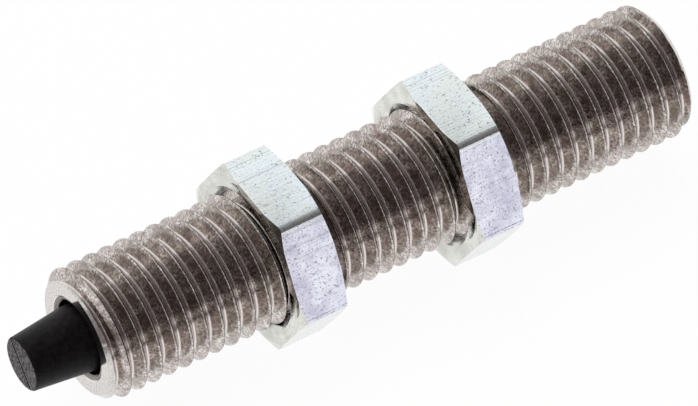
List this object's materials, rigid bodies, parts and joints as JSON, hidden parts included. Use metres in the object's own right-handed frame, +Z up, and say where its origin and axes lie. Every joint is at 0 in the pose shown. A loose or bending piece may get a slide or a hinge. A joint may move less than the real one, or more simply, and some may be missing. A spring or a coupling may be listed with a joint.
{
  "type": "industrial shock absorber",
  "caption": "Miniature hydraulic shock absorber: fully threaded tube with two hexagon lock nuts and a sprung piston rod under a black impact cap.",
  "frame": {"origin": "centre of the body's front stop face, on the axis of the rod", "axes": "+X along the axis from the stop face to the closed end, +Z up with the nuts lying on their lower flats, +Y across"},
  "size_m": [0.0415, 0.0114, 0.01],
  "materials": {
    "body_steel": "bright thread rolled steel with a light grain",
    "nut_steel": "bright zinc plated, drawn flats",
    "cap_plastic": "moulded black plastic",
    "rod_steel": "hardened and ground",
    "collar_steel": "turned",
    "bearing_bronze": "turned bronze",
    "seal_rubber": "black nitrile rubber",
    "support_plastic": "off-white plastic",
    "spring_steel": "drawn spring wire",
    "foam_rubber": "closed-cell foam",
    "tube_steel": "turned and honed",
    "screw_steel": "black oxide"
  },
  "bodies": {
    "body": {"body_tube": "body_steel", "stop_collar": "collar_steel", "rod_bearing": "bearing_bronze", "wiper_ring": "seal_rubber", "seal_support_ring": "support_plastic", "rod_seal": "seal_rubber", "bearing_o_ring": "seal_rubber", "retaining_ring": "spring_steel", "accumulator_foam": "foam_rubber", "pressure_tube": "tube_steel", "return_spring": "spring_steel", "tube_end_plug": "tube_steel", "fill_screw": "screw_steel", "fill_screw_seal": "support_plastic"},
    "rod_assembly": {"rod_cap": "cap_plastic", "piston_rod": "rod_steel", "piston": "tube_steel", "piston_washer": "tube_steel", "piston_clip": "spring_steel"},
    "check_ring": {"piston_check_ring": "bearing_bronze"},
    "front_nut": {"lock_nut_front": "nut_steel"},
    "rear_nut": {"lock_nut_rear": "nut_steel"}
  },
  "joints": [
    {"name": "rod_stroke", "type": "slide", "parent": "body", "child": "rod_assembly", "axis": [1, 0, 0], "range_m": [0, 0.0035], "stiffness_N_per_m": 1100, "springref_m": -0.0018, "deforming": ["return_spring"]},
    {"name": "check_ring_lift", "type": "slide", "parent": "rod_assembly", "child": "check_ring", "axis": [1, 0, 0], "range_m": [-0.0002, 0]},
    {"name": "front_nut_travel", "type": "slide", "parent": "body", "child": "front_nut", "axis": [1, 0, 0], "range_m": [-0.01, 0.004]},
    {"name": "rear_nut_travel", "type": "slide", "parent": "body", "child": "rear_nut", "axis": [1, 0, 0], "range_m": [-0.004, 0.011]}
  ]
}
